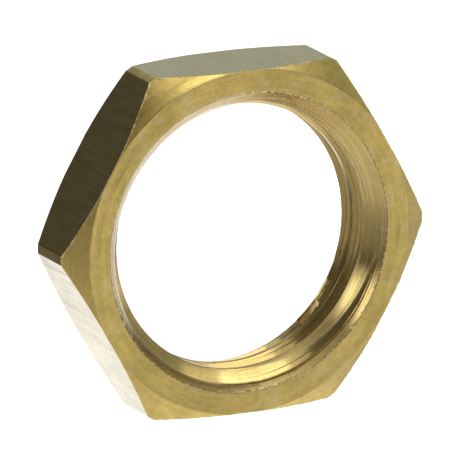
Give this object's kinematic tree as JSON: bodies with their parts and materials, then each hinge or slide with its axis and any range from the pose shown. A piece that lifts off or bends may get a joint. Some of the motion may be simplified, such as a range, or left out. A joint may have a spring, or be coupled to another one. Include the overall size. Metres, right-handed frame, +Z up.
{
  "type": "hexagon lock nut",
  "caption": "Thin brass hexagon lock nut with turned faces, chamfered corners and a countersunk G 1/2 pipe thread, standing on one of its flats.",
  "frame": {"origin": "middle of the bore: on the thread axis, halfway through the nut's thickness", "axes": "+Y runs along the thread axis from the front face to the back face, +X points to a corner of the hexagon, and +Z is up: the nut stands on the flat at -Z"},
  "size_m": [0.0284, 0.006, 0.025],
  "materials": {
    "brass": "bare brass, satin, with drawn flats and turned faces"
  },
  "bodies": {
    "root": {"hex_nut": "brass"}
  },
  "joints": []
}
